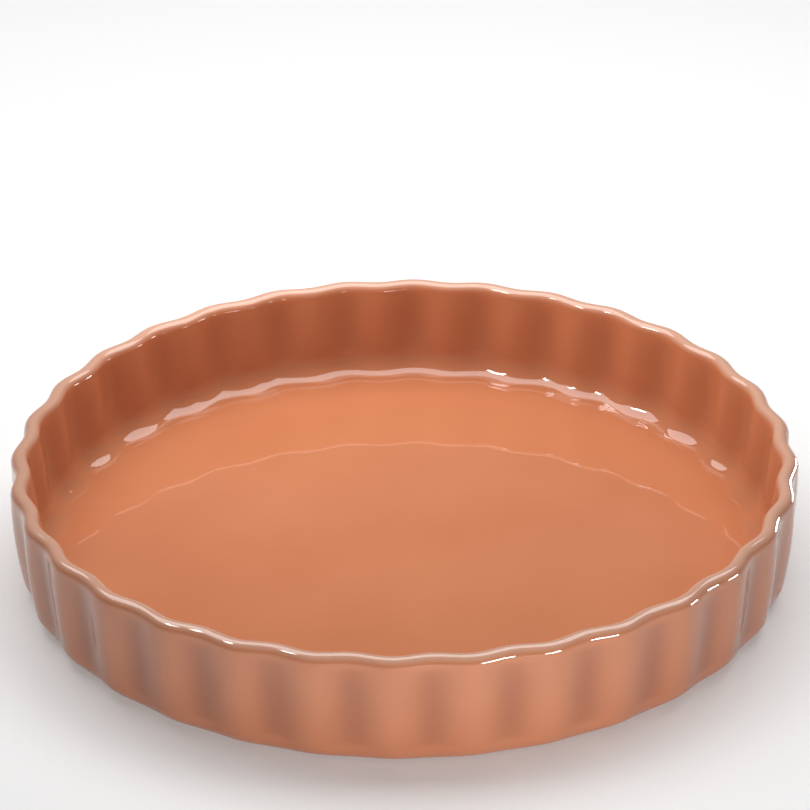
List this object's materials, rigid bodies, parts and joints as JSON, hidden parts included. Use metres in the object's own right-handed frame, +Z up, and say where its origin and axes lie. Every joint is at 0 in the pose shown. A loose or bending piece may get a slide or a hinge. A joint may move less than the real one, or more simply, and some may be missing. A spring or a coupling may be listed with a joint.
{
  "type": "fluted quiche dish",
  "caption": "Round shallow ceramic baking dish with a fluted upright wall, a rounded lip, a coved flat floor and a bare foot ring.",
  "frame": {"origin": "middle of the foot, in the plane that the dish stands on", "axes": "+Z up along the axis of the dish, +X and +Y each through the crest of a flute"},
  "size_m": [0.2894, 0.2894, 0.0452],
  "materials": {
    "fired_clay": "bare fired stoneware, matt and finely speckled, seen on the foot ring only",
    "terracotta_glaze": "smooth glossy terracotta-pink glaze, thinner and paler on the edges of the lip"
  },
  "bodies": {
    "root": {"dish_body": "fired_clay", "glaze_coat": "terracotta_glaze", "base_glaze": "terracotta_glaze"}
  },
  "joints": []
}
